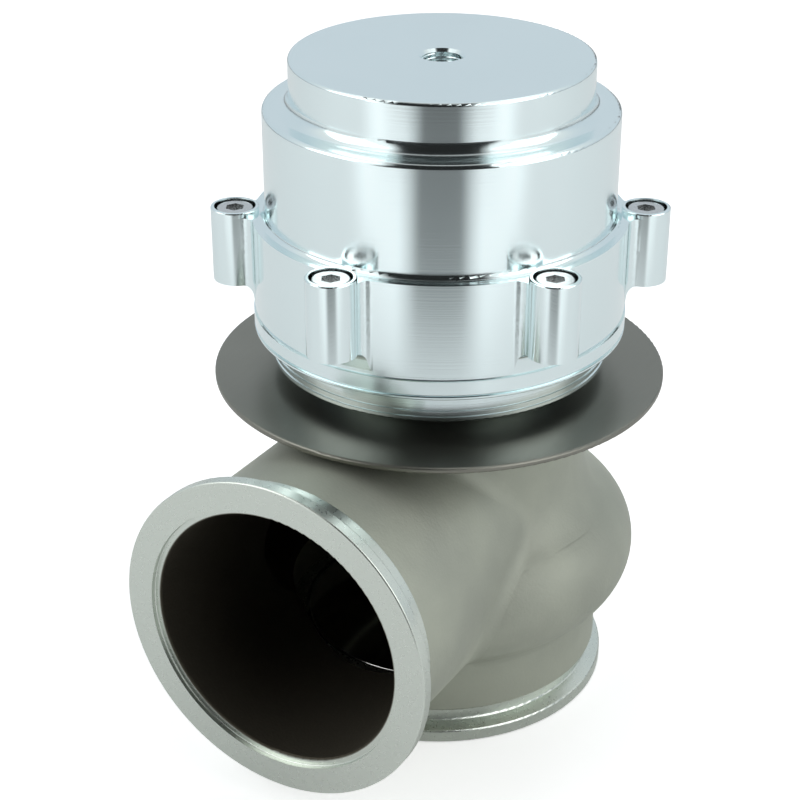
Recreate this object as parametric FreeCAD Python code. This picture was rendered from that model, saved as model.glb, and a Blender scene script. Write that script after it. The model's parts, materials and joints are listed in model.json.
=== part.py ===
import FreeCAD, Part
import math
import os

# External turbo wastegate, in millimetres. +Z runs up the valve stem, the origin is the centre
# of the inlet flange face, and the outlet points along -Y. Exhaust gas enters from below, lifts
# the poppet valve off its seat against the springs and leaves by the side outlet.

V = FreeCAD.Vector

# ---- clearances -----------------------------------------------------------------------------
running_clearance = 0.05      # stem in its bushes and its seal, radial
fixed_clearance = 0.05        # a pressed or screwed-in piece in its hole, radial
clamp_clearance = 0.05        # between faces that a nut or a spring holds together
free_clearance = 0.4          # between a moving piece and the fixed piece beside it

# ---- valve and seat -------------------------------------------------------------------------
valve_radius = 33.0
valve_margin = 1.5            # straight edge of the valve head
seat_width = 3.0              # radial width of the 45 degree seat
seat_height = 11.0
seat_wall = 2.8               # ring wall outside the top of the seat
seat_gap = 0.35               # vertical gap on the cone with the valve shut
head_fillet = 13.0            # back of the head into the stem
head_crown = 4.5              # rise of the head's back towards the stem
stem_radius = 5.0
thread_radius = 4.0           # M8 end of the stem
valve_lift = 14.0

# ---- cast body ------------------------------------------------------------------------------
casting_wall = 3.8
inlet_rim_radius = 42.9
inlet_neck_radius = 39.5
inlet_neck_top = 7.6
rim_thickness = 3.0
band_angle = 20.0             # degrees, back of a V-band flange
skirt_radius = 41.0           # straight wall between inlet flange and bowl
bowl_radius = 49.5
bowl_bulge = 22.3             # half width of the oval that is turned into the bowl
bowl_half_height = 17.8
bowl_height = 35.7
bowl_sweep = 18.0             # hollow curve between bowl and neck
skirt_sweep = 3.6             # hollow curve between skirt and bowl
body_neck_radius = 36.0
outlet_height = 45.0
outlet_length = 76.0
outlet_rim_radius = 39.5
outlet_neck_radius = 35.6
outlet_neck_length = 9.5      # machined length, face to casting
outlet_tube_radius = 34.8
outlet_recess_radius = 32.8
outlet_recess_depth = 1.2
body_fillet = 6.0
guide_radius = 8.0
guide_length = 23.0
guide_boss_radius = 12.5
guide_boss_length = 20.0
roof_thickness = 12.0         # metal between the gas chamber and the gasket face
chamber_floor = 2.0           # ledge of casting above the seat ring
bore_end_distance = 20.0      # start of the outlet bore's round end, from the stem

# ---- stack between body and actuator ----------------------------------------------------------
gasket_thickness = 1.6
shield_thickness = 1.5
shield_radius = 54.5
insulator_thickness = 1.5
base_screw_radius = 3.0       # M6
base_screw_depth = 8.0        # thread in the body
base_screw_x = 22.5
base_screw_y = 13.0

# ---- actuator base ----------------------------------------------------------------------------
foot_radius = 30.0
foot_height = 2.4
ring_radius = 40.3
ring_height = 7.6
ledge_radius = 44.5
ledge_height = 5.4
wall_radius = 44.2
wall_height = 14.0            # from the ledge up to the joint with the cap
chamber_radius = 37.2
floor_height = 9.4            # floor of the lower chamber above the foot's face
screw_grip = 2.8              # metal under the base screws
hub_radius = 13.5
hub_height = 4.6              # above the floor
bush_radius = 8.0
bush_length = 6.9
seal_radius = 9.5
seal_height = 3.9
circlip_thickness = 1.0
circlip_groove = 0.6          # radial depth
port_radius = 4.6             # 1/8 inch pipe thread
port_height = 9.0             # base port below the joint with the cap
port_flat_radius = 7.0
port_flat_depth = 0.8
port_angle = 120.0            # degrees, open base port
plug_angle = 60.0             # degrees, plugged base port

# ---- diaphragm and its plates -----------------------------------------------------------------
diaphragm_thickness = 1.6
diaphragm_edge = 4.1          # clamped width
plate_radius = 31.0
plate_thickness = 2.5
cup_height = 8.8
cup_wall = 1.7
washer_thickness = 1.6
washer_radius = 8.0
nut_across = 13.0
nut_height = 6.5

# ---- cap --------------------------------------------------------------------------------------
cap_flange_height = 8.0
barrel_radius = 41.2
barrel_height = 26.2
crown_radius = 35.0
crown_height = 11.4
crown_thickness = 5.6
cap_wall = 4.0
ledge_fillet = 2.6
shoulder_fillet = 3.5
port_boss_radius = 9.5
port_boss_height = 6.0
port_chamfer = 0.7
shim_thickness = 1.5
shim_width = 18.0
ceiling_rounding = 1.0        # inside corners of the cap's ceiling

# ---- lugs and their screws --------------------------------------------------------------------
lug_count = 6
lug_first_angle = 30.0
lug_circle = 48.3
lug_radius = 5.75
lug_rise = 1.2                # above the cap's flange
lug_depth = 9.0               # below the joint
lug_gusset = 4.6              # height of the curve under a lug
lug_fillet = 2.5
cap_screw_radius = 2.5        # M5
cap_screw_length = 10.0
head_sink = 0.4               # screw head below the lug's top
counterbore_radius = 4.9

# ---- springs: mean radius, wire diameter and turns --------------------------------------------
outer_spring_size = (25.4, 4.4, 5.0)
middle_spring_size = (20.2, 3.4, 6.0)
inner_spring_size = (15.2, 2.6, 8.0)

# ---- heights worked out from the sizes above --------------------------------------------------
body_top = outlet_height + outlet_tube_radius + 0.2
shield_bottom = body_top + gasket_thickness
shield_top = shield_bottom + shield_thickness
foot_bottom = shield_top + insulator_thickness
ring_bottom = foot_bottom + foot_height
ledge_bottom = ring_bottom + ring_height
wall_bottom = ledge_bottom + ledge_height
joint_height = wall_bottom + wall_height
floor_top = foot_bottom + floor_height
hub_top = floor_top + hub_height
cap_ledge = joint_height + cap_flange_height
shoulder_height = cap_ledge + barrel_height
cap_top = shoulder_height + crown_height
ceiling = cap_top - crown_thickness
shim_bottom = ceiling - shim_thickness
lug_top = cap_ledge + lug_rise
lug_bottom = joint_height - lug_depth

# The diaphragm's centre lies half the lift below the joint when the valve is shut.
diaphragm_bottom = joint_height - valve_lift / 2
diaphragm_top = diaphragm_bottom + diaphragm_thickness
plate_bottom = diaphragm_bottom - clamp_clearance - plate_thickness
cup_bottom = diaphragm_top + clamp_clearance
cup_floor = cup_bottom + plate_thickness
nut_bottom = cup_floor + washer_thickness
stem_top = nut_bottom + nut_height + 2.0

# Inlet: the ring's throat, and the seat that the valve's cone meets.
seat_top_radius = valve_radius + 0.2
throat_radius = seat_top_radius - seat_width
seat_outer_radius = seat_top_radius + seat_wall
outlet_bore_radius = outlet_tube_radius - casting_wall

# Screws: a socket head is 1.7 shank radii wide at the radius and one shank diameter high.
cap_seat_height = lug_top - head_sink - 2 * cap_screw_radius
base_seat_height = foot_bottom + screw_grip
base_washer_thickness = 0.4 * base_screw_radius
base_screw_places = [(x, y) for x in (-base_screw_x, base_screw_x) for y in (-base_screw_y, base_screw_y)]


# ---- shared shapes ----------------------------------------------------------------------------
def outline(corners):
    """Closed wire in the XZ plane through (radius, height, rounding) corners."""
    ends, arcs = [], []
    for i, corner in enumerate(corners):
        here = V(corner[0], 0, corner[1])
        before = V(corners[i - 1][0], 0, corners[i - 1][1]) - here
        after = V(corners[(i + 1) % len(corners)][0], 0, corners[(i + 1) % len(corners)][1]) - here
        rounding = corner[2] if len(corner) > 2 else 0
        if not rounding:
            ends.append((here, here))
            arcs.append(None)
            continue
        half_angle = before.getAngle(after) / 2
        reach = min(rounding / math.tan(half_angle), 0.45 * before.Length, 0.45 * after.Length)
        rounding = reach * math.tan(half_angle)
        before.normalize()
        after.normalize()
        inward = (before + after).normalize()
        middle = here + inward * (rounding / math.sin(half_angle) - rounding)
        start, end = here + before * reach, here + after * reach
        ends.append((start, end))
        arcs.append(Part.Arc(start, middle, end).toShape())
    edges = []
    for i, (start, end) in enumerate(ends):
        leaving = ends[i - 1][1]
        if (start - leaving).Length > 1e-6:
            edges.append(Part.makeLine(leaving, start))
        if arcs[i]:
            edges.append(arcs[i])
    return Part.Wire(edges)


def turned(corners):
    """Solid of revolution about the Z axis."""
    return Part.Face(outline(corners)).revolve(V(0, 0, 0), V(0, 0, 1), 360)


def rod(radius, bottom, top, x=0.0, y=0.0):
    return Part.makeCylinder(radius, top - bottom, V(x, y, bottom))


def tube(outer, inner, bottom, top):
    return rod(outer, bottom, top).cut(rod(inner, bottom - 1, top + 1))


def hexagon(across, bottom, top, x=0.0, y=0.0):
    """Upright hexagonal prism, measured across its flats."""
    reach = across / math.sqrt(3)
    turns = [math.radians(60 * i) for i in range(7)]
    points = [V(x + reach * math.cos(a), y + reach * math.sin(a), bottom) for a in turns]
    return Part.Face(Part.makePolygon(points)).extrude(V(0, 0, top - bottom))


def groove(radius, height, width, depth):
    """Corners of a turned groove with sloping sides, from the bottom up."""
    half = width / 2
    return [(radius, height - half), (radius - depth, height - half / 2),
            (radius - depth, height + half / 2), (radius, height + half)]


def lug_places():
    for i in range(lug_count):
        angle = math.radians(lug_first_angle + 360.0 / lug_count * i)
        yield lug_circle * math.cos(angle), lug_circle * math.sin(angle)


def socket_screw(radius, length, seat, x, y):
    """Socket-head screw whose head stands on the height called seat."""
    head_radius, head_height = 1.7 * radius, 2 * radius
    key = 1.6 * radius
    head = turned([(0, seat), (head_radius, seat), (head_radius, seat + head_height, 0.1 * radius),
                   (0, seat + head_height)])
    shank = turned([(0, seat - length), (radius, seat - length, 0.2 * radius), (radius, seat + radius),
                    (0, seat + radius)])
    socket = hexagon(key, seat + head_height - radius, seat + head_height + 1)
    screw = head.fuse(shank).removeSplitter().cut(socket)
    screw.translate(V(x, y, 0))
    return screw


def spring(size, bottom, top):
    """Round-wire compression spring between two flat seats."""
    mean_radius, wire, turns = size
    height = top - bottom - wire
    path = Part.makeHelix(height / turns, height, mean_radius)
    path.translate(V(0, 0, bottom + wire / 2))
    rise = height / turns / (2 * math.pi * mean_radius)
    circle = Part.Circle(V(mean_radius, 0, bottom + wire / 2), V(0, 1, rise), wire / 2)
    halves = [Part.ArcOfCircle(circle, start, start + math.pi).toShape() for start in (0, math.pi)]
    return path.makePipeShell([Part.Wire(halves)], True, True)


def save(name, shape):
    shape.exportStep("parts/%s.step" % name)
    print("%-24s solids %d  volume %10.1f mm3  valid %s"
          % (name, len(shape.Solids), shape.Volume, shape.isValid()))


# ---- gas side ---------------------------------------------------------------------------------
def bevel(rim, neck):
    """Axial depth of a V-band flange's sloping back."""
    return (rim - neck) * math.tan(math.radians(band_angle))


def barrel(inset, bottom, top):
    """Skirt, bowl and neck as one turned solid, with its skin moved in by inset."""
    centre = bowl_radius - bowl_bulge
    bulge, half_height = bowl_bulge - inset, bowl_half_height - inset
    skirt, neck = skirt_radius - inset, body_neck_radius - inset
    oval = Part.Ellipse(V(centre + bulge, 0, bowl_height), V(centre, 0, bowl_height + half_height),
                        V(centre, 0, bowl_height))
    skirt_end = -math.acos((skirt - centre) / bulge)
    neck_end = math.acos((neck - centre) / bulge)
    bowl_arc = Part.Arc(oval, skirt_end + 2 * math.pi, neck_end + 2 * math.pi).toShape()
    low, high = bowl_arc.valueAt(bowl_arc.FirstParameter), bowl_arc.valueAt(bowl_arc.LastParameter)
    corners = [high, V(neck, 0, top), V(0, 0, top), V(0, 0, bottom), V(skirt, 0, bottom), low]
    lines = [Part.makeLine(a, b) for a, b in zip(corners, corners[1:])]
    solid = Part.Face(Part.Wire([bowl_arc] + lines)).revolve(V(0, 0, 0), V(0, 0, 1), 360)
    for sweep, crease in ((skirt_sweep, low), (bowl_sweep, high)):
        ring = [e for e in solid.Edges if e.BoundBox.ZLength < 1e-3 and abs(e.BoundBox.ZMin - crease.z) < 1e-3]
        solid = solid.makeFillet(sweep, ring)
    return solid


def along_outlet(shape):
    """Turns a shape made up the Z axis to lie along the outlet's axis."""
    shape.rotate(V(0, 0, 0), V(1, 0, 0), 90)
    shape.translate(V(0, 0, outlet_height))
    return shape


def on_outlet_tube(edge):
    """True where an edge lies on the skin of the outlet tube, clear of its end."""
    ends = [edge.valueAt(edge.FirstParameter + f * (edge.LastParameter - edge.FirstParameter))
            for f in (0.1, 0.35, 0.6, 0.9)]
    return all(abs(math.hypot(p.x, p.z - outlet_height) - outlet_tube_radius) < 1e-3
               and p.y > outlet_neck_length - outlet_length + 1 for p in ends)


def valve_body():
    casting = barrel(0, inlet_neck_top + 2, body_top)
    outlet_tube = along_outlet(rod(outlet_tube_radius, 0, outlet_length - outlet_neck_length))
    casting = casting.fuse(outlet_tube)
    casting = casting.makeFillet(body_fillet, [e for e in casting.Edges if on_outlet_tube(e)])

    inlet_flange = turned([
        (0, 0), (inlet_rim_radius, 0), (inlet_rim_radius, rim_thickness, 0.4),
        (inlet_neck_radius, rim_thickness + bevel(inlet_rim_radius, inlet_neck_radius), 0.5),
        (inlet_neck_radius, inlet_neck_top, 0.5), (skirt_radius, inlet_neck_top, 1.4),
        (skirt_radius, inlet_neck_top + 5), (0, inlet_neck_top + 5)])
    face = outlet_length
    neck_start = face - outlet_neck_length
    outlet_flange = along_outlet(turned([
        (0, neck_start - 2), (outlet_bore_radius + 1, neck_start - 2),
        (outlet_neck_radius, neck_start, 0.3),
        (outlet_neck_radius, face - rim_thickness - bevel(outlet_rim_radius, outlet_neck_radius), 0.5),
        (outlet_rim_radius, face - rim_thickness, 0.4), (outlet_rim_radius, face, 0.4), (0, face)]))
    casting = casting.fuse([inlet_flange, outlet_flange])

    seat_top = seat_height + chamber_floor
    roof = body_top - roof_thickness
    bore = along_outlet(turned([
        (0, bore_end_distance), (outlet_bore_radius, bore_end_distance),
        (outlet_bore_radius, face - outlet_recess_depth, 0.6),
        (outlet_recess_radius, face - outlet_recess_depth, 0.3),
        (outlet_recess_radius, face + 1), (0, face + 1)]))
    bore_end = Part.makeSphere(outlet_bore_radius, V(0, -bore_end_distance, outlet_height))
    chamber = barrel(casting_wall, seat_top, roof)
    casting = casting.cut(chamber).cut(bore).cut(bore_end)

    boss = turned([(0, body_top - guide_boss_length), (guide_boss_radius, body_top - guide_boss_length, 2),
                   (guide_boss_radius, body_top - 0.5), (0, body_top - 0.5)])
    casting = casting.fuse(boss)
    pocket = turned([(0, -1), (seat_outer_radius + fixed_clearance, -1),
                     (seat_outer_radius + fixed_clearance, seat_height),
                     (valve_radius + 1.0, seat_height), (valve_radius + 1.0, seat_top + 1), (0, seat_top + 1)])
    casting = casting.cut([pocket, rod(guide_radius + fixed_clearance, 0, body_top + 1)])
    holes = [rod(base_screw_radius + fixed_clearance, body_top - base_screw_depth - 1, body_top + 1, x, y)
             for x, y in base_screw_places]
    return casting.cut(holes)


def valve_seat():
    return turned([
        (throat_radius, 0), (seat_outer_radius, 0), (seat_outer_radius, seat_height, 0.3),
        (seat_top_radius, seat_height), (throat_radius, seat_height - seat_width)])


def valve():
    """Poppet valve: head with a 45 degree cone, dished below, and the stem with its threaded end."""
    cone_radius = throat_radius + 0.2
    cone_bottom = seat_height - seat_top_radius + cone_radius + seat_gap
    margin_bottom = cone_bottom + valve_radius - cone_radius
    margin_top = margin_bottom + valve_margin
    return turned([
        (0, cone_bottom + 1.5), (0.6 * cone_radius, cone_bottom + 1.5, 6), (0.8 * cone_radius, cone_bottom, 3),
        (cone_radius, cone_bottom), (valve_radius, margin_bottom), (valve_radius, margin_top, 0.3),
        (stem_radius, margin_top + head_crown, head_fillet), (stem_radius, plate_bottom),
        (thread_radius, plate_bottom), (thread_radius, stem_top, 0.6), (0, stem_top)])


def valve_guide():
    return turned([
        (stem_radius + running_clearance, body_top - guide_length), (guide_radius, body_top - guide_length, 0.5),
        (guide_radius, body_top), (stem_radius + running_clearance, body_top)])


def sheet(radius, bottom, top):
    """Round gasket or shield with a stem hole and four screw holes."""
    holes = [rod(base_screw_radius + 0.3, bottom - 1, top + 1, x, y) for x, y in base_screw_places]
    return tube(radius, guide_radius + 0.5, bottom, top).cut(holes)


def heat_shield():
    shield = sheet(shield_radius, shield_bottom, shield_top)
    rim = [e for e in shield.Edges if e.BoundBox.XMax > shield_radius - 0.1 and e.BoundBox.ZLength < 1e-3]
    return shield.makeFillet(0.3 * shield_thickness, rim)


# ---- actuator base ----------------------------------------------------------------------------
def lug_columns(bottom, top, edge):
    return [turned([(0, bottom), (lug_radius, bottom), (lug_radius, top, edge), (0, top)]).translated(V(x, y, 0))
            for x, y in lug_places()]


def lug_ring(bottom, top):
    """Outer skin of the wall with its lugs, the upright creases between them rounded."""
    ring = tube(wall_radius, chamber_radius + diaphragm_edge + 0.5, bottom, top)
    ring = ring.fuse(lug_columns(bottom, top, 0))
    creases = [e for e in ring.Edges if e.BoundBox.ZLength > 5
               and max(e.BoundBox.XLength, e.BoundBox.YLength) < 1e-3
               and abs(math.hypot(e.CenterOfMass.x, e.CenterOfMass.y) - wall_radius) < 0.01]
    return ring.makeFillet(lug_fillet, creases)


def port_tool(angle, flat_radius, inner_reach):
    """Cutting tool for a base port: its hole and the flat face around its mouth."""
    mouth = wall_radius - port_flat_depth
    tool = rod(port_radius, inner_reach, mouth + 1).fuse(rod(flat_radius, mouth, wall_radius + 5))
    return aim(tool, angle)


def aim(shape, angle):
    """Lays a shape made up the Z axis along a base port's axis."""
    shape.rotate(V(0, 0, 0), V(0, 1, 0), 90)
    shape.rotate(V(0, 0, 0), V(0, 0, 1), angle)
    shape.translate(V(0, 0, joint_height - port_height))
    return shape


def actuator_base():
    bush_hole = bush_radius + fixed_clearance
    seal_hole = seal_radius + fixed_clearance
    seal_floor = foot_bottom + bush_length
    groove_bottom = seal_floor + seal_height + circlip_thickness
    groove_top = groove_bottom + circlip_thickness + 0.1
    recess = diaphragm_thickness / 2
    recess_radius = chamber_radius + diaphragm_edge
    casing = turned(
        [(bush_hole, foot_bottom), (foot_radius, foot_bottom, 0.3), (foot_radius, ring_bottom),
         (ring_radius, ring_bottom, 0.8)]
        + groove(ring_radius, ring_bottom + 0.2 * ring_height, 0.7, 0.25)
        + groove(ring_radius, ring_bottom + 0.4 * ring_height, 0.7, 0.25)
        + [(ring_radius, ledge_bottom, 0.6), (ledge_radius, ledge_bottom, 0.5)]
        + groove(ledge_radius, ledge_bottom + 0.2 * ledge_height, 0.8, 0.6)
        + [(ledge_radius, wall_bottom - 0.9), (wall_radius - 0.3, wall_bottom - 0.7),
           (wall_radius - 0.3, wall_bottom - 0.2), (wall_radius, wall_bottom)]
        + [(wall_radius, joint_height), (recess_radius, joint_height), (recess_radius, joint_height - recess),
           (chamber_radius, joint_height - recess, 0.5), (chamber_radius, floor_top, 2.0),
           (hub_radius, floor_top, 1.5), (hub_radius, hub_top, 0.5), (seal_hole, hub_top),
           (seal_hole, groove_top), (seal_hole + circlip_groove, groove_top),
           (seal_hole + circlip_groove, groove_bottom), (seal_hole, groove_bottom),
           (seal_hole, seal_floor), (bush_hole, seal_floor)])
    gusset_bottom = lug_bottom - lug_gusset
    lugs = lug_ring(gusset_bottom, joint_height)
    under_lugs = turned([
        (wall_radius, gusset_bottom), (wall_radius + 0.6, lug_bottom, 0.9 * lug_gusset),
        (lug_circle + 2 * lug_radius, lug_bottom), (lug_circle + 2 * lug_radius, gusset_bottom)])
    casing = casing.fuse(lugs.cut(under_lugs))
    tools = [port_tool(angle, port_flat_radius, 0.9 * chamber_radius) for angle in (port_angle, plug_angle)]
    for x, y in base_screw_places:
        tools.append(rod(base_screw_radius + 0.3, foot_bottom - 1, floor_top + 1, x, y))
        tools.append(rod(1.9 * base_screw_radius, base_seat_height, floor_top + 1, x, y))
    thread_bottom = cap_seat_height - cap_screw_length - 1.0
    for x, y in lug_places():
        tools.append(rod(cap_screw_radius + fixed_clearance, thread_bottom, joint_height + 1, x, y))
    return casing.cut(tools)


def base_screws():
    seat = base_seat_height + base_washer_thickness
    length = seat - body_top + base_screw_depth
    return Part.makeCompound([socket_screw(base_screw_radius, length, seat, x, y) for x, y in base_screw_places])


def base_screw_washers():
    top = base_seat_height + base_washer_thickness
    ring = tube(1.7 * base_screw_radius, base_screw_radius + 0.2, base_seat_height, top)
    return Part.makeCompound([ring.translated(V(x, y, 0)) for x, y in base_screw_places])


def stem_bush():
    inner = stem_radius + running_clearance
    return turned([
        (inner, foot_bottom, 0.3), (bush_radius, foot_bottom), (bush_radius, foot_bottom + bush_length, 0.3),
        (inner, foot_bottom + bush_length, 0.3)])


def stem_seal():
    bottom = foot_bottom + bush_length
    top = bottom + seal_height
    inner = stem_radius + running_clearance
    return turned([
        (inner, bottom + 0.3, 0.2), (inner + 1.6, bottom), (seal_radius, bottom, 0.4), (seal_radius, top, 0.4),
        (inner + 2.0, top), (inner + 1.2, top - 0.4 * seal_height, 0.3), (inner, top - 0.2, 0.2)])


def seal_washer():
    bottom = foot_bottom + bush_length + seal_height
    return tube(seal_radius, stem_radius + 0.6, bottom, bottom + circlip_thickness)


def seal_circlip():
    """Inside circlip: an open ring with an eye at each end."""
    bottom = foot_bottom + bush_length + seal_height + circlip_thickness
    top = bottom + circlip_thickness
    outer = seal_radius + circlip_groove
    band = 0.17 * seal_radius
    clip = tube(outer, outer - band, bottom, top)
    gap = Part.makeBox(2 * band, 1.6 * band, circlip_thickness + 2, V(outer - 1.5 * band, -0.8 * band, bottom - 1))
    clip = clip.cut(gap)
    eye_x, eye_y = outer - 1.3 * band, 1.5 * band
    for y in (-eye_y, eye_y):
        clip = clip.fuse(rod(0.8 * band, bottom, top, eye_x, y)).cut(rod(0.35 * band, bottom - 1, top + 1, eye_x, y))
    return clip.removeSplitter()


def port_plug():
    """Threaded plug with a hexagon socket, flush in the flat around its port."""
    mouth = wall_radius - port_flat_depth
    body = rod(port_radius - fixed_clearance, chamber_radius + 0.3, mouth)
    return aim(body.cut(hexagon(port_radius, mouth - 0.6 * (mouth - chamber_radius), mouth + 1)), plug_angle)


# ---- diaphragm and the pieces on the stem -----------------------------------------------------
def diaphragm():
    """Flat centre under the spring cup, one slanting fold, and the clamped edge."""
    half = diaphragm_thickness / 2
    fold_start = plate_radius + 1.4
    fold_end = chamber_radius - 0.6
    wider = diaphragm_thickness * 0.55
    return turned([
        (thread_radius + free_clearance, diaphragm_bottom), (fold_start, diaphragm_bottom, 2.4),
        (fold_end, joint_height - half, 0.8),
        (chamber_radius + diaphragm_edge - 0.2, joint_height - half),
        (chamber_radius + diaphragm_edge - 0.2, joint_height + half),
        (fold_end - wider, joint_height + half, 2.4), (fold_start - wider, diaphragm_top, 0.8),
        (thread_radius + free_clearance, diaphragm_top)])


def lower_diaphragm_plate():
    return turned([
        (thread_radius + fixed_clearance, plate_bottom), (0.9 * plate_radius, plate_bottom),
        (plate_radius, plate_bottom + 0.4 * plate_thickness, 0.5),
        (plate_radius, plate_bottom + plate_thickness, 0.8),
        (thread_radius + fixed_clearance, plate_bottom + plate_thickness)])


def upper_diaphragm_plate():
    """Spring cup: a plate with an upturned rim that keeps the outer spring central."""
    cup_radius = plate_radius - 0.8
    return turned([
        (thread_radius + fixed_clearance, cup_bottom), (cup_radius, cup_bottom, 1.5),
        (cup_radius, cup_bottom + cup_height, 0.6), (cup_radius - cup_wall, cup_bottom + cup_height, 0.6),
        (cup_radius - cup_wall, cup_floor, 0.8), (thread_radius + fixed_clearance, cup_floor)])


def stem_washer():
    return tube(washer_radius, thread_radius + 0.2, cup_floor, nut_bottom)


def stem_nut():
    """Hexagon nut with both ends turned down at the corners."""
    top = nut_bottom + nut_height
    corner = nut_across / math.sqrt(3)
    blank = turned([
        (0, nut_bottom), (0.93 * corner, nut_bottom), (corner, nut_bottom + 0.07 * corner),
        (corner, top - 0.07 * corner), (0.93 * corner, top), (0, top)])
    nut = hexagon(nut_across, nut_bottom, top).common(blank)
    return nut.cut(rod(thread_radius + fixed_clearance, nut_bottom - 1, top + 1))


# ---- cap --------------------------------------------------------------------------------------
def actuator_cap():
    recess = diaphragm_thickness / 2
    recess_radius = chamber_radius + diaphragm_edge
    crown_inner = crown_radius - cap_wall
    casing = turned([
        (recess_radius, joint_height), (wall_radius - 0.3, joint_height), (wall_radius - 0.3, cap_ledge),
        (barrel_radius, cap_ledge, ledge_fillet), (barrel_radius, shoulder_height, 1.0),
        (crown_radius, shoulder_height, shoulder_fillet), (crown_radius, cap_top, 0.7),
        (port_radius + port_chamfer, cap_top), (port_radius, cap_top - port_chamfer),
        (port_radius, ceiling - port_boss_height), (port_boss_radius, ceiling - port_boss_height, 0.6),
        (port_boss_radius, ceiling, ceiling_rounding), (crown_inner, ceiling, ceiling_rounding),
        (crown_inner, shoulder_height - cap_wall, 0.8), (chamber_radius, shoulder_height - cap_wall, 2.0),
        (chamber_radius, joint_height + recess, 0.5), (recess_radius, joint_height + recess)])
    casing = casing.fuse([lug_ring(joint_height, cap_ledge)] + lug_columns(cap_ledge - 1, lug_top, 0.3))
    tools = []
    for x, y in lug_places():
        tools.append(rod(cap_screw_radius + 0.25, joint_height - 1, lug_top, x, y))
        tools.append(rod(counterbore_radius, cap_seat_height, lug_top + 1, x, y))
    return casing.cut(tools)


def cap_screws():
    return Part.makeCompound([
        socket_screw(cap_screw_radius, cap_screw_length, cap_seat_height, x, y) for x, y in lug_places()])


def spring_shim():
    outer = crown_radius - cap_wall - ceiling_rounding - fixed_clearance
    return tube(outer, outer - shim_width, shim_bottom, ceiling)


pieces = {
    "valve_body": valve_body(),
    "valve_seat": valve_seat(),
    "valve_guide": valve_guide(),
    "body_gasket": sheet(body_neck_radius - 0.5, body_top, shield_bottom),
    "heat_shield": heat_shield(),
    "insulating_gasket": sheet(foot_radius, shield_top, foot_bottom),
    "actuator_base": actuator_base(),
    "base_screws": base_screws(),
    "base_screw_washers": base_screw_washers(),
    "stem_bush": stem_bush(),
    "stem_seal": stem_seal(),
    "seal_washer": seal_washer(),
    "seal_circlip": seal_circlip(),
    "port_plug": port_plug(),
    "diaphragm": diaphragm(),
    "actuator_cap": actuator_cap(),
    "cap_screws": cap_screws(),
    "spring_shim": spring_shim(),
    "outer_spring": spring(outer_spring_size, cup_floor + clamp_clearance, shim_bottom),
    "middle_spring": spring(middle_spring_size, cup_floor + clamp_clearance, shim_bottom),
    "inner_spring": spring(inner_spring_size, cup_floor + clamp_clearance, shim_bottom),
    "valve": valve(),
    "lower_diaphragm_plate": lower_diaphragm_plate(),
    "upper_diaphragm_plate": upper_diaphragm_plate(),
    "stem_washer": stem_washer(),
    "stem_nut": stem_nut(),
}

os.makedirs("parts", exist_ok=True)
for name, shape in pieces.items():
    save(name, shape)
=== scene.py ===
# %% [markdown]
# # An external turbo wastegate
#
# A wastegate is a valve that lets exhaust gas past a turbine. Gas comes up through the flange at
# the bottom, lifts a poppet valve against three springs and leaves through the flange at the side.
# A rubber diaphragm in the bright aluminium housing on top works the valve, and a thin steel disc
# between the two keeps the heat of the cast body away from it.
#
# The CAD model already has the right shape and size, so this file gives each part its finish, adds
# the few pieces that are easier to make here, and sets up the studio.

# %% Load the model and keep its box
import json
import math

import bmesh
import bpy
from mathutils import Matrix, Vector


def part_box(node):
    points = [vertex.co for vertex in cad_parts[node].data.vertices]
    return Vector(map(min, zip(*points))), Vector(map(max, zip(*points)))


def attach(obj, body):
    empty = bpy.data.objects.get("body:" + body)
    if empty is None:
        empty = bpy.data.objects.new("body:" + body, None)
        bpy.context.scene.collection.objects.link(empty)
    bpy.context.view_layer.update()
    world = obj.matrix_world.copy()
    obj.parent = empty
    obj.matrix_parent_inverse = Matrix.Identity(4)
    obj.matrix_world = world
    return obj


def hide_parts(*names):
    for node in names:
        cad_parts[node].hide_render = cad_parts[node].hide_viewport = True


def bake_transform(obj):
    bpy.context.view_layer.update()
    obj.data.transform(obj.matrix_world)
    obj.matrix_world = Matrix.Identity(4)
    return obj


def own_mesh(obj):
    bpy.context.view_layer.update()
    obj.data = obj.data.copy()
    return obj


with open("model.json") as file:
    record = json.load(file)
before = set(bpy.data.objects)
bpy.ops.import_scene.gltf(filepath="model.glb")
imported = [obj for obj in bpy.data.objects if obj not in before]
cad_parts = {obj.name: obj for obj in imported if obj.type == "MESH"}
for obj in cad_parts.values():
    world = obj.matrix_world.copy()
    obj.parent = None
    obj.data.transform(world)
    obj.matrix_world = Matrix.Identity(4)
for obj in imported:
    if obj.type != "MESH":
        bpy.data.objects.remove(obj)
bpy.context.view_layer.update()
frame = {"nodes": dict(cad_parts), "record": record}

# %% [markdown]
# ## Writing node trees as sums
#
# A material or a Geometry Nodes tree is a graph, and graphs are hard to read in code. The small
# class below holds one output socket. Adding or multiplying two of them puts the right Math node
# in the tree, so a formula reads like a formula.

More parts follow.
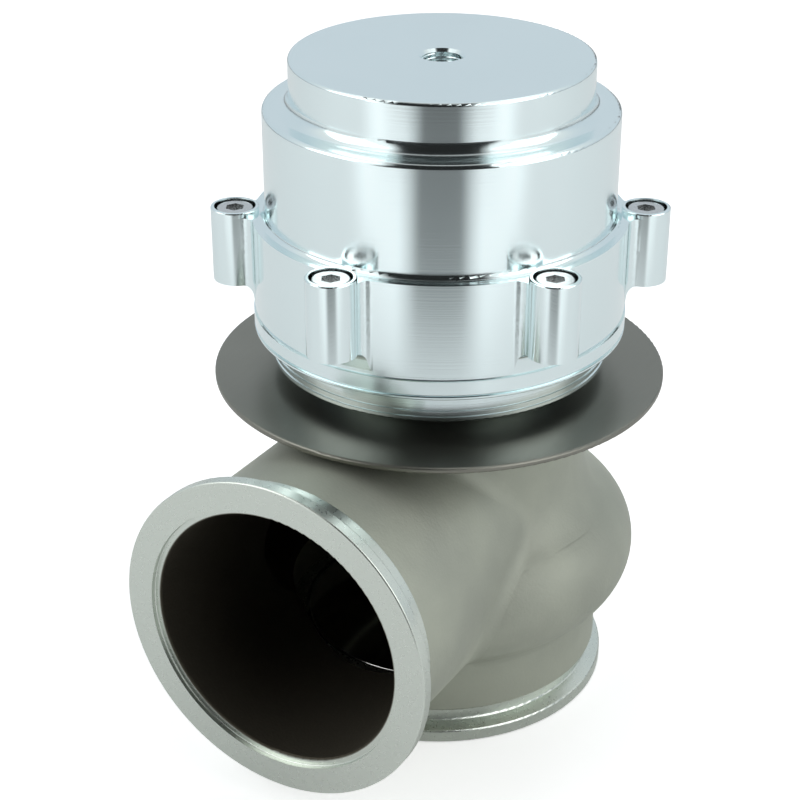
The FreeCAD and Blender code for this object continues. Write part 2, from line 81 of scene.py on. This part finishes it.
# %% A socket that can be added and multiplied
class Wire:
    """One output socket of a node, with arithmetic that adds Math nodes to its tree."""

    def __init__(self, tree, socket):
        self.tree, self.socket = tree, socket

    def math(self, operation, *values):
        return self.tree.node("ShaderNodeMath", {"operation": operation}, dict(enumerate(values)))

    def __add__(self, other): return self.math("ADD", self, other)
    def __radd__(self, other): return self.math("ADD", other, self)
    def __sub__(self, other): return self.math("SUBTRACT", self, other)
    def __rsub__(self, other): return self.math("SUBTRACT", other, self)
    def __mul__(self, other): return self.math("MULTIPLY", self, other)
    def __rmul__(self, other): return self.math("MULTIPLY", other, self)
    def __truediv__(self, other): return self.math("DIVIDE", self, other)
    def __rtruediv__(self, other): return self.math("DIVIDE", other, self)
    def __pow__(self, other): return self.math("POWER", self, other)
    def __abs__(self): return self.math("ABSOLUTE", self)

    def sine(self): return self.math("SINE", self)
    def cosine(self): return self.math("COSINE", self)
    def smallest(self, other): return self.math("MINIMUM", self, other)
    def largest(self, other): return self.math("MAXIMUM", self, other)

    def ramp(self, start, end, low=0.0, high=1.0):
        """Smooth step from low at start to high at end."""
        return self.tree.node("ShaderNodeMapRange", {"interpolation_type": "SMOOTHSTEP"},
                              {0: self, 1: start, 2: end, 3: low, 4: high})

    def over(self, edge, blur):
        """A mask that is 1 where the value is over the edge, with a soft step blur wide each way."""
        return self.ramp(edge - blur, edge + blur)

    def under(self, edge, blur):
        """A mask that is 1 where the value is under the edge."""
        return self.ramp(edge + blur, edge - blur)


# %% A node tree that is built by calls
class Tree:
    """A shader or Geometry Nodes tree whose nodes are added one call at a time."""

    def __init__(self, tree):
        self.tree = tree

    def node(self, kind, settings=None, inputs=None, output=0):
        made = self.tree.nodes.new(kind)
        for name, value in (settings or {}).items():
            setattr(made, name, value)
        for key, value in (inputs or {}).items():
            if isinstance(value, Wire):
                self.tree.links.new(value.socket, made.inputs[key])
            else:
                made.inputs[key].default_value = value
        return Wire(self, made.outputs[output]) if made.outputs else None

    def mix(self, factor, first, second):
        """Mixes two colours."""
        return self.node("ShaderNodeMix", {"data_type": "RGBA"},
                         {0: factor, 6: first, 7: second}, output=2)


def opaque(red, green, blue):
    return (red, green, blue, 1.0)


# %% [markdown]
# ## The camera
#
# The view is from about 27 degrees above the bench and 29 degrees round from the side outlet, with
# a long lens so that the cylinders hardly taper. The camera looks at a point on the valve's axis
# and is then turned a degree, which moves the axis off the middle of the frame.

# %% Camera
view_side = math.radians(29.0)
view_height = math.radians(27.35)
view_turn = math.radians(-1.18)
view_distance = 0.46116
aim_height = 0.07173

back = Vector((math.sin(view_side) * math.cos(view_height), -math.cos(view_side) * math.cos(view_height),
               math.sin(view_height)))
focal_length, sensor_width = 83.86, 36.0
lens = bpy.data.cameras.new("camera")
lens.lens, lens.sensor_width = focal_length, sensor_width
lens.clip_start, lens.clip_end = 0.01, 20.0
camera = bpy.data.objects.new("camera", lens)
bpy.context.scene.collection.objects.link(camera)
camera.location = Vector((0, 0, aim_height)) + back * view_distance
to_right = (-back).cross(Vector((0, 0, 1))).normalized()
looking = (-back) * math.cos(view_turn) + to_right * math.sin(view_turn)
camera.rotation_euler = looking.to_track_quat("-Z", "Y").to_euler()
bpy.context.scene.camera = camera
print("camera at", [round(v, 4) for v in camera.location])

# %% [markdown]
# ## The studio
#
# Polished aluminium shows what stands around it, so the lights are also what it looks like. Two
# bright walls stand left and right of the camera with a dark gap between them, which draws the grey
# stripe down the front of the housing and the black lines in its corners. The backdrop is white
# where the camera sees it.

# %% World
bpy.context.scene.view_settings.view_transform = "Standard"
gap_half_width, gap_narrowing, gap_blur = 0.62, 0.20, 0.07
gap_glow = 0.02
edge_brightness, wall_brightness, back_brightness = 1.12, 0.82, 0.68

world = bpy.data.worlds.new("studio")
bpy.context.scene.world = world
world.use_nodes = True
world.node_tree.nodes.clear()
sky = Tree(world.node_tree)


def dot(tree, vector, axis):
    return tree.node("ShaderNodeVectorMath", {"operation": "DOT_PRODUCT"},
                     {0: vector, 1: axis}, output="Value")


view_axis = (math.sin(view_side), -math.cos(view_side), 0.0)
side_axis = (math.cos(view_side), math.sin(view_side), 0.0)
direction = sky.node("ShaderNodeTexCoord", output="Generated")
toward, across = dot(sky, direction, view_axis), dot(sky, direction, side_axis)
up = dot(sky, direction, (0, 0, 1))
# climb is 0 level with the camera's side, half a turn level with the far side
climb = up.math("ARCTAN2", up, toward)
past_edge = abs(across) - (gap_half_width - gap_narrowing * climb)
lit = past_edge.ramp(-gap_blur, gap_blur).largest(climb.ramp(2.0, 2.4))
behind = climb.ramp(1.9, 2.6)
walls = past_edge.ramp(0.10, 0.36, edge_brightness, wall_brightness)
brightness = gap_glow + lit * (walls * (1.0 - behind) + back_brightness * behind)
tint = sky.mix(behind, opaque(0.97, 1.0, 1.0), opaque(0.91, 1.0, 1.07))
camera_ray = sky.node("ShaderNodeLightPath", output="Is Camera Ray")
light = sky.node("ShaderNodeBackground", {}, {"Color": tint, "Strength": brightness})
white = sky.node("ShaderNodeBackground", {}, {"Color": opaque(1, 1, 1), "Strength": 1.0})
seen = sky.node("ShaderNodeMixShader", {}, {0: camera_ray, 1: light, 2: white})
sky.node("ShaderNodeOutputWorld", {}, {"Surface": seen})

# %% [markdown]
# The floor is white paper to the eye, with a glow so that it meets the backdrop unseen. The metal
# mirrors it differently: the stretch towards the camera is dark, as if the table ended there, and a
# brighter strip lies on each side of that. A studio does the same with dark and white cards.

# %% Floor
floor_size, floor_height = 3.0, -0.0002
corners = [(-1, -1), (1, -1), (1, 1), (-1, 1)]
floor_mesh = bpy.data.meshes.new("floor")
floor_mesh.from_pydata([(floor_size * x, floor_size * y, floor_height) for x, y in corners],
                       [], [(0, 1, 2, 3)])
floor = bpy.data.objects.new("floor", floor_mesh)
bpy.context.scene.collection.objects.link(floor)
floor_finish = bpy.data.materials.new("white_paper")
floor_finish.use_nodes = True
floor_finish.node_tree.nodes.clear()
paper = Tree(floor_finish.node_tree)
spot = paper.node("ShaderNodeTexCoord", output="Object")
ahead, aside = dot(paper, spot, view_axis), dot(paper, spot, side_axis)
spread = ahead.math("ARCTAN2", abs(aside), ahead)


def fan(start, end):
    """Smooth step from 0 to 1 between two angles from the middle line, in degrees."""
    return spread.ramp(math.radians(start), math.radians(end))


table_end = ahead.ramp(0.25, 0.32) * fan(20, 11)
far_end = ahead.ramp(0.45, 0.60) * fan(46, 36)
strips = ahead.ramp(0.20, 0.30) * fan(17, 26) * fan(64, 44)
path = paper.tree.nodes.new("ShaderNodeLightPath")
seen_directly = Wire(paper, path.outputs["Is Camera Ray"])
mirrored = Wire(paper, path.outputs["Is Glossy Ray"])
paper_white, table_shade, far_shade = 0.9, 0.70, 0.97
shade = paper_white * (1.0 - mirrored * (table_shade * table_end).largest(far_shade * far_end))
shade_colour = paper.node("ShaderNodeCombineColor", {}, {0: shade, 1: shade, 2: shade})
matte = paper.node("ShaderNodeBsdfDiffuse", {}, {"Color": shade_colour})
paper_glow, strip_glow = 0.50, 0.36
foot_radius = 0.042
open_floor = ((ahead * ahead + aside * aside) ** 0.5).over(foot_radius, 0.002)
strength = paper_glow * seen_directly * open_floor + strip_glow * mirrored * strips * (1.0 - far_end)
glow = paper.node("ShaderNodeEmission", {}, {"Strength": strength})
paper_surface = paper.node("ShaderNodeAddShader", {}, {0: matte, 1: glow})
paper.node("ShaderNodeOutputMaterial", {}, {"Surface": paper_surface})
floor_mesh.materials.append(floor_finish)

# %% Soft boxes
object_middle = 0.08


def soft_box(name, side, height, distance, width, tall, power):
    """A rectangular lamp that looks at the object's middle, from an angle round from the camera."""
    lamp = bpy.data.lights.new(name, "AREA")
    lamp.shape, lamp.size, lamp.size_y, lamp.energy = "RECTANGLE", width, tall, power
    turn = view_side + math.radians(side)
    rise = math.radians(height)
    box = bpy.data.objects.new(name, lamp)
    bpy.context.scene.collection.objects.link(box)
    away = Vector((math.sin(turn) * math.cos(rise), -math.cos(turn) * math.cos(rise), math.sin(rise)))
    box.location = Vector((0, 0, object_middle)) + away * distance
    box.rotation_euler = (-away).to_track_quat("-Z", "Y").to_euler()


soft_box("soft_box_left", -72, 32, 1.2, 0.8, 0.9, 3.2)
soft_box("soft_box_right", 72, 32, 1.2, 0.8, 0.9, 3.2)
soft_box("soft_box_top", 175, 72, 1.3, 1.0, 1.0, 1.5)

# %% [markdown]
# ## Finishes
#
# Every finish starts from the same metal or rubber shader. What tells them apart is what was done
# to the surface: turned on a lathe, cast in a mould, rolled into sheet or moulded.

# %% Where a point lies on the object
def place(tree):
    """The point as a vector, in metres."""
    return tree.node("ShaderNodeTexCoord", output="Object")


def parts_of(vector):
    """The x, y and z of a vector."""
    split = vector.tree.tree.nodes.new("ShaderNodeSeparateXYZ")
    vector.tree.tree.links.new(vector.socket, split.inputs[0])
    return [Wire(vector.tree, socket) for socket in split.outputs]


def finish(name, build):
    """A material whose surface comes from build(tree)."""
    made = bpy.data.materials.new(name)
    made.use_nodes = True
    made.node_tree.nodes.clear()
    tree = Tree(made.node_tree)
    tree.node("ShaderNodeOutputMaterial", {}, {"Surface": build(tree)})
    return made


def surface(tree, colour, roughness, metallic=1.0, normal=None, **constants):
    inputs = {"Base Color": colour, "Roughness": roughness, "Metallic": metallic}
    if normal is not None:
        inputs["Normal"] = normal
    inputs.update({name.replace("_", " "): value for name, value in constants.items()})
    return tree.node("ShaderNodeBsdfPrincipled", {}, inputs)


def grain(tree, point, scale, detail=2.0, roughness=0.5):
    return tree.node("ShaderNodeTexNoise", {}, {"Vector": point, "Scale": scale, "Detail": detail,
                                                 "Roughness": roughness})


def bump(tree, height, depth, strength=1.0):
    return tree.node("ShaderNodeBump", {}, {"Height": height, "Distance": depth, "Strength": strength})


def lathe_lines(tree, point, scale):
    """Noise that changes only across the cuts: with the radius on a face, with the height on a wall."""
    x, y, z = parts_of(point)
    radius = (x * x + y * y) ** 0.5
    return tree.node("ShaderNodeTexNoise", {"noise_dimensions": "1D"},
                     {"W": radius + z, "Scale": scale, "Detail": 3.0, "Roughness": 0.6})


# %% Polished, clear anodised aluminium
def clear_aluminium(tree):
    point = place(tree)
    lines = lathe_lines(tree, point, 2200.0)
    patches = grain(tree, point, 60.0)
    roughness = 0.12 + 0.04 * lines + 0.03 * patches
    colour = tree.mix(patches, opaque(0.79, 0.89, 0.90), opaque(0.82, 0.91, 0.92))
    return surface(tree, colour, roughness, normal=bump(tree, lines, 0.00002, 0.25),
                   Anisotropic=0.7, Anisotropic_Rotation=0.25)


# %% Cast and machined steel of the body
# Where the surfaces of the CAD body lie, in metres
outlet_axis_height = 0.045
outlet_flange_back, inlet_flange_top = 0.0664, 0.0078
bore_radius, lip_radius = 0.0314, 0.0385
chamber_radius, chamber_floor, chamber_roof = 0.0344, 0.0131, 0.0694
bowl_ring_radius, bowl_ring_height = 0.0272, 0.0357
bowl_half_width, bowl_half_height = 0.0204, 0.0159


def cast_steel(tree):
    """Sand-cast outside, turned on the flanges and the seat's lip, and coloured near-black inside the
    bore and chamber as painted shade.
    """
    point = place(tree)
    x, y, z = parts_of(point)
    from_outlet_axis = (x * x + (z - outlet_axis_height) * (z - outlet_axis_height)) ** 0.5
    radius = (x * x + y * y) ** 0.5
    forward = y * -1.0
    flange = forward.over(outlet_flange_back, 0.0002)
    foot = z.under(inlet_flange_top, 0.0002)
    lip = z.under(chamber_floor, 0.00005) * radius.under(lip_radius, 0.0001)
    bore = from_outlet_axis.under(bore_radius, 0.0002) * forward.ramp(0.0, 0.012)
    column = (radius.under(chamber_radius, 0.0001) * z.over(chamber_floor, 0.00005)
              * z.under(chamber_roof, 0.0001))
    across_bowl = (radius - bowl_ring_radius) / bowl_half_width
    up_bowl = (z - bowl_ring_height) / bowl_half_height
    bowl = (across_bowl * across_bowl + up_bowl * up_bowl).under(1.0, 0.02)
    # The hollow inside of the body (bore, chamber and bowl), which gets a near-black painted shade below
    painted_shade_inside = bore.largest(column).largest(bowl)
    machined = flange.largest(foot).largest(lip) * (1.0 - painted_shade_inside)
    cut = from_outlet_axis * flange + (radius + z) * (1.0 - flange)
    rings = tree.node("ShaderNodeTexNoise", {"noise_dimensions": "1D"},
                      {"W": cut, "Scale": 1500.0, "Detail": 3.0})
    sand = grain(tree, point, 1400.0, 2.0)
    lumps = grain(tree, point, 170.0, 3.0)
    cloud = grain(tree, point, 35.0, 3.0)
    cast_colour = tree.mix(cloud.ramp(0.3, 0.7), opaque(0.365, 0.38, 0.325), opaque(0.445, 0.465, 0.39))
    turned_colour = opaque(0.66, 0.70, 0.645)
    outside = tree.mix(machined, cast_colour, turned_colour)
    # Painted shade: inside the body the colour is near-black, standing in for the shade in the hollow
    # bore and chamber
    colour = tree.mix(painted_shade_inside, outside, opaque(0.10, 0.09, 0.07))
    roughness = 0.50 + 0.12 * sand - machined * 0.27 + painted_shade_inside * 0.15
    relief = (sand * 0.5 + lumps * 0.9) * (1.0 - machined) + rings * machined * 0.12
    metallic = 0.5 + 0.5 * machined.largest(painted_shade_inside)
    return surface(tree, colour, roughness, metallic, normal=bump(tree, relief, 0.00025, 0.5))


# %% Turned steel
def machined_steel(tree):
    lines = lathe_lines(tree, place(tree), 1800.0)
    return surface(tree, opaque(0.80, 0.79, 0.76), 0.09 + 0.08 * lines,
                   normal=bump(tree, lines, 0.00002, 0.25))


# %% Rolled stainless sheet of the heat shield
def shield_steel(tree):
    point = place(tree)
    stretched = tree.node("ShaderNodeMapping", {}, {"Vector": point, "Scale": (12.0, 1.0, 12.0)})
    rolling = grain(tree, stretched, 90.0, 3.0)
    cloud = grain(tree, point, 30.0, 2.0)
    colour = tree.mix(cloud, opaque(0.215, 0.212, 0.185), opaque(0.27, 0.265, 0.232))
    return surface(tree, colour, 0.31 + 0.08 * rolling, normal=bump(tree, rolling, 0.00001, 0.2))


# %% Small parts
def plain_metal(colour, low, high, scale):
    """A metal of one colour whose roughness wanders between low and high."""
    def build(tree):
        marks = grain(tree, place(tree), scale, 3.0)
        darker = opaque(*(0.85 * c for c in colour[:3]))
        return surface(tree, tree.mix(marks, colour, darker), marks.ramp(0.3, 0.7, low, high),
                       normal=bump(tree, marks, 0.00002, 0.3))
    return build


def plain_soft(colour, low, high, scale, depth):
    """Rubber or board, with a grain of the given depth."""
    def build(tree):
        marks = grain(tree, place(tree), scale, 2.0)
        darker = opaque(*(0.7 * c for c in colour[:3]))
        return surface(tree, tree.mix(marks, colour, darker), marks.ramp(0.3, 0.7, low, high),
                       metallic=0.0, normal=bump(tree, marks, depth, 0.4))
    return build


bronze = plain_metal(opaque(0.55, 0.36, 0.18), 0.25, 0.4, 900.0)
gasket_sheet = plain_metal(opaque(0.22, 0.22, 0.21), 0.4, 0.6, 700.0)
screw_steel = plain_metal(opaque(0.66, 0.67, 0.67), 0.16, 0.3, 1200.0)
spring_steel = plain_metal(opaque(0.28, 0.29, 0.31), 0.22, 0.36, 800.0)
plain_aluminium = plain_metal(opaque(0.72, 0.73, 0.73), 0.25, 0.38, 900.0)
insulating_sheet = plain_soft(opaque(0.10, 0.10, 0.09), 0.7, 0.9, 600.0, 0.0001)
seal_rubber = plain_soft(opaque(0.02, 0.02, 0.02), 0.45, 0.65, 500.0, 0.00005)
diaphragm_rubber = plain_soft(opaque(0.30, 0.05, 0.03), 0.5, 0.7, 900.0, 0.0001)

finishes = {
    "cast_steel": finish("cast_steel", cast_steel),
    "machined_steel": finish("turned_steel", machined_steel),
    "clear_aluminium": finish("clear_anodised_aluminium", clear_aluminium),
    "shield_steel": finish("rolled_sheet_steel", shield_steel),
    "bronze": finish("guide_bronze", bronze),
    "gasket_sheet": finish("gasket_sheet", gasket_sheet),
    "screw_steel": finish("bright_screw_steel", screw_steel),
    "spring_steel": finish("oiled_spring_wire", spring_steel),
    "plain_aluminium": finish("turned_aluminium", plain_aluminium),
    "insulating_sheet": finish("insulating_board", insulating_sheet),
    "seal_rubber": finish("black_rubber", seal_rubber),
    "diaphragm_rubber": finish("silicone_on_cloth", diaphragm_rubber),
}

# %% Give every CAD part the finish of its record entry
for part in frame["record"]["subparts"]:
    name = part["node"].split("#")[0]
    for slot in frame["nodes"][name].material_slots:
        slot.material = finishes[part["material_slot"]]
print(len(frame["nodes"]), "parts have a finish")

# %% [markdown]
# ## The springs
#
# Three wires of different thickness are nested in the housing. Each is wound the same way: the
# first and last turns lie flat against their seats and are ground, and the turns between climb
# evenly. That is a rule, so Geometry Nodes makes it: a line is bent into a helix by a formula, a
# circle is swept along it, and whatever passes the seats is pressed flat.

# %% The spring's tree
def new_tree(name, sizes):
    """An empty Geometry Nodes tree with one number input for each size, and those as wires."""
    group = bpy.data.node_groups.new(name, "GeometryNodeTree")
    group.interface.new_socket("Geometry", in_out="OUTPUT", socket_type="NodeSocketGeometry")
    for size in sizes:
        group.interface.new_socket(size, in_out="INPUT", socket_type="NodeSocketFloat")
    tree = Tree(group)
    entry = group.nodes.new("NodeGroupInput")
    return tree, {size: Wire(tree, entry.outputs[size]) for size in sizes}


def end_tree(tree, shape, material):
    whole = tree.node("GeometryNodeRealizeInstances", {}, {0: shape})
    smooth = tree.node("GeometryNodeSetShadeSmooth", {}, {0: whole})
    painted = tree.node("GeometryNodeSetMaterial", {}, {0: smooth, "Material": material})
    tree.node("NodeGroupOutput", {}, {0: painted})
    return tree.tree


def make_piece(name, group, values):
    """Runs a tree with its inputs set and keeps the result as a plain mesh."""
    holder = bpy.data.objects.new(name, bpy.data.meshes.new(name + "_start"))
    bpy.context.scene.collection.objects.link(holder)
    modifier = holder.modifiers.new("shape", "NODES")
    modifier.node_group = group
    for item in group.interface.items_tree:
        if item.in_out == "INPUT":
            modifier[item.identifier] = values[item.name]
    shown = holder.evaluated_get(bpy.context.evaluated_depsgraph_get())
    mesh = bpy.data.meshes.new_from_object(shown)
    holder.modifiers.clear()
    holder.data = mesh
    print(name, len(mesh.polygons), "faces")
    return holder


closed_pitch = 0.85         # height of a closed turn, in wires
centre_lift = 0.15          # height of the wire's middle over its seat, in wires


def spring_tree():
    tree, size = new_tree("coil_spring", ["Mean radius", "Wire", "Turns", "Bottom", "Top"])
    line = tree.node("GeometryNodeCurvePrimitiveLine")
    points = tree.node("GeometryNodeResampleCurve", {}, {"Curve": line, "Count": 460})
    share = tree.node("GeometryNodeSplineParameter", output="Factor")
    wound = share * size["Turns"]
    first = wound.smallest(1.0)
    last = (wound - (size["Turns"] - 1.0)).largest(0.0)
    climb = (wound - 1.0).largest(0.0).smallest(size["Turns"] - 2.0) / (size["Turns"] - 2.0)
    closed = size["Wire"] * closed_pitch
    open_height = size["Top"] - size["Bottom"] - size["Wire"] * (2 * centre_lift) - 2.0 * closed
    height = size["Bottom"] + size["Wire"] * centre_lift + closed * (first + last) + open_height * climb
    turn = wound * (2 * math.pi)
    across, along = size["Mean radius"] * turn.cosine(), size["Mean radius"] * turn.sine()
    where = tree.node("ShaderNodeCombineXYZ", {}, {0: across, 1: along, 2: height})
    helix = tree.node("GeometryNodeSetPosition", {}, {"Geometry": points, "Position": where})
    section = tree.node("GeometryNodeCurvePrimitiveCircle", {},
                        {"Resolution": 20, "Radius": size["Wire"] * 0.5})
    wire = tree.node("GeometryNodeCurveToMesh", {},
                     {"Curve": helix, "Profile Curve": section, "Fill Caps": True})
    x, y, z = parts_of(tree.node("GeometryNodeInputPosition"))
    between_seats = z.largest(size["Bottom"]).smallest(size["Top"])
    ground = tree.node("ShaderNodeCombineXYZ", {}, {0: x, 1: y, 2: between_seats})
    flat = tree.node("GeometryNodeSetPosition", {}, {"Geometry": wire, "Position": ground})
    return end_tree(tree, flat, finishes["spring_steel"])


# %% Wind the three springs
cup_floor = 0.00255
spring_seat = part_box("upper_diaphragm_plate")[0][2] + cup_floor
shim_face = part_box("spring_shim")[0][2]
length = shim_face - spring_seat
coil = spring_tree()
springs = [("outer_spring", 0.0254, 0.0044, 5.0),
           ("middle_spring", 0.0202, 0.0034, 6.0),
           ("inner_spring", 0.0152, 0.0026, 8.0)]
for name, mean_radius, wire, turns in springs:
    piece = make_piece(name + "_wound", coil, {"Mean radius": mean_radius, "Wire": wire, "Turns": turns,
                                               "Bottom": spring_seat, "Top": shim_face})
    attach(piece, "housing")
    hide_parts(name)
    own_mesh(piece)

# %% [markdown]
# ## The diaphragm
#
# The diaphragm is a disc of silicone on cloth. Its rim is clamped where cap and base meet, its
# middle is clamped between two plates on the stem, and one loose fold between them rolls as the
# valve moves. The section is drawn as a smooth curve, spun round the axis and given its thickness.

# %% Draw and spin the diaphragm
half_thickness = 0.0008
hole_radius, fold_inner, fold_outer = 0.0044, 0.0312, 0.0368
sheet_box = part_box("diaphragm")
rim_radius = sheet_box[1][0]
rim_middle = sheet_box[1][2] - half_thickness
centre_middle = sheet_box[0][2] + half_thickness


def diaphragm_height(radius):
    """Height of the cloth's middle at a radius: flat, one S-shaped fold, flat."""
    share = min(max((radius - fold_inner) / (fold_outer - fold_inner), 0.0), 1.0)
    return centre_middle + (rim_middle - centre_middle) * share * share * (3 - 2 * share)


def diaphragm_slope(radius):
    nudge = 1e-5
    return (diaphragm_height(radius + nudge) - diaphragm_height(radius - nudge)) / (2 * nudge)


radii = [hole_radius + (fold_inner - hole_radius) * i / 6 for i in range(6)]
radii += [fold_inner + (fold_outer - fold_inner) * i / 12 for i in range(13)]
radii += [fold_outer + (rim_radius - fold_outer) * i / 3 for i in (1, 2, 3)]
steps = 128
angles = [2 * math.pi * k / steps for k in range(steps)]
rings = []
shape = bmesh.new()
for side in (half_thickness, -half_thickness):
    for radius in (radii if side > 0 else reversed(radii)):
        slope = diaphragm_slope(radius)
        steepness = math.hypot(1, slope)
        z = diaphragm_height(radius) + side / steepness
        at_edge = radius in (radii[0], radii[-1])
        r = radius if at_edge else radius - side * slope / steepness
        rings.append([shape.verts.new((r * math.cos(angle), r * math.sin(angle), z)) for angle in angles])
for ring, following in zip(rings, rings[1:] + rings[:1]):
    for k in range(steps):
        after = (k + 1) % steps
        face = shape.faces.new((ring[k], ring[after], following[after], following[k]))
        face.smooth = True
bmesh.ops.recalc_face_normals(shape, faces=shape.faces)
cloth_mesh = bpy.data.meshes.new("diaphragm_cloth")
shape.to_mesh(cloth_mesh)
shape.free()
cloth = bpy.data.objects.new("diaphragm_cloth", cloth_mesh)
bpy.context.scene.collection.objects.link(cloth)
cloth_mesh.materials.append(finishes["diaphragm_rubber"])
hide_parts("diaphragm")
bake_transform(cloth)
print("diaphragm", len(cloth_mesh.polygons), "faces")

# %% [markdown]
# ## The threads of the ports
#
# A hose fitting screws into the top port and into the open port at the back. The CAD holes are
# plain, so each gets a thread: a small triangle swept along a helix that lies against the wall.

# %% The thread's tree
def thread_tree(material):
    tree, size = new_tree("port_thread", ["Wall radius", "Pitch", "Length", "Depth"])
    turns = size["Length"] / size["Pitch"]
    helix = tree.node("GeometryNodeCurveSpiral", {},
                      {"Resolution": 72, "Rotations": turns, "Height": size["Length"],
                       "Start Radius": size["Wall radius"], "End Radius": size["Wall radius"]})
    ridge = tree.node("GeometryNodeCurvePrimitiveCircle", {}, {"Resolution": 3, "Radius": size["Depth"]})
    thread = tree.node("GeometryNodeCurveToMesh", {},
                       {"Curve": helix, "Profile Curve": ridge, "Fill Caps": True})
    return end_tree(tree, thread, material)


# %% Cut the two threads
pitch, thread_depth, port_radius = 0.00094, 0.00040, 0.0046
top_length, top_setback = 0.0095, 0.0011
base_length, base_advance = 0.0050, 0.0012
thread = thread_tree(finishes["clear_aluminium"])
mounts = {m["name"]: m for m in frame["record"]["mounts"]}
cap_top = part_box("actuator_cap")[1][2]
base_axis = Vector(mounts["base_port"]["axis"])
top_end = Vector((0, 0, cap_top - top_setback))
base_end = Vector(mounts["base_port"]["pos_m"]) + base_axis * base_advance
for name, outer_end, length in (("top_port", top_end, top_length), ("base_port", base_end, base_length)):
    axis = Vector(mounts[name]["axis"])
    piece = make_piece(name + "_thread", thread, {"Wall radius": port_radius, "Pitch": pitch,
                                                  "Length": length, "Depth": thread_depth})
    turned = axis.to_track_quat("Z", "Y").to_matrix().to_4x4()
    piece.data.transform(Matrix.Translation(outer_end - axis * length) @ turned)
    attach(piece, "housing")
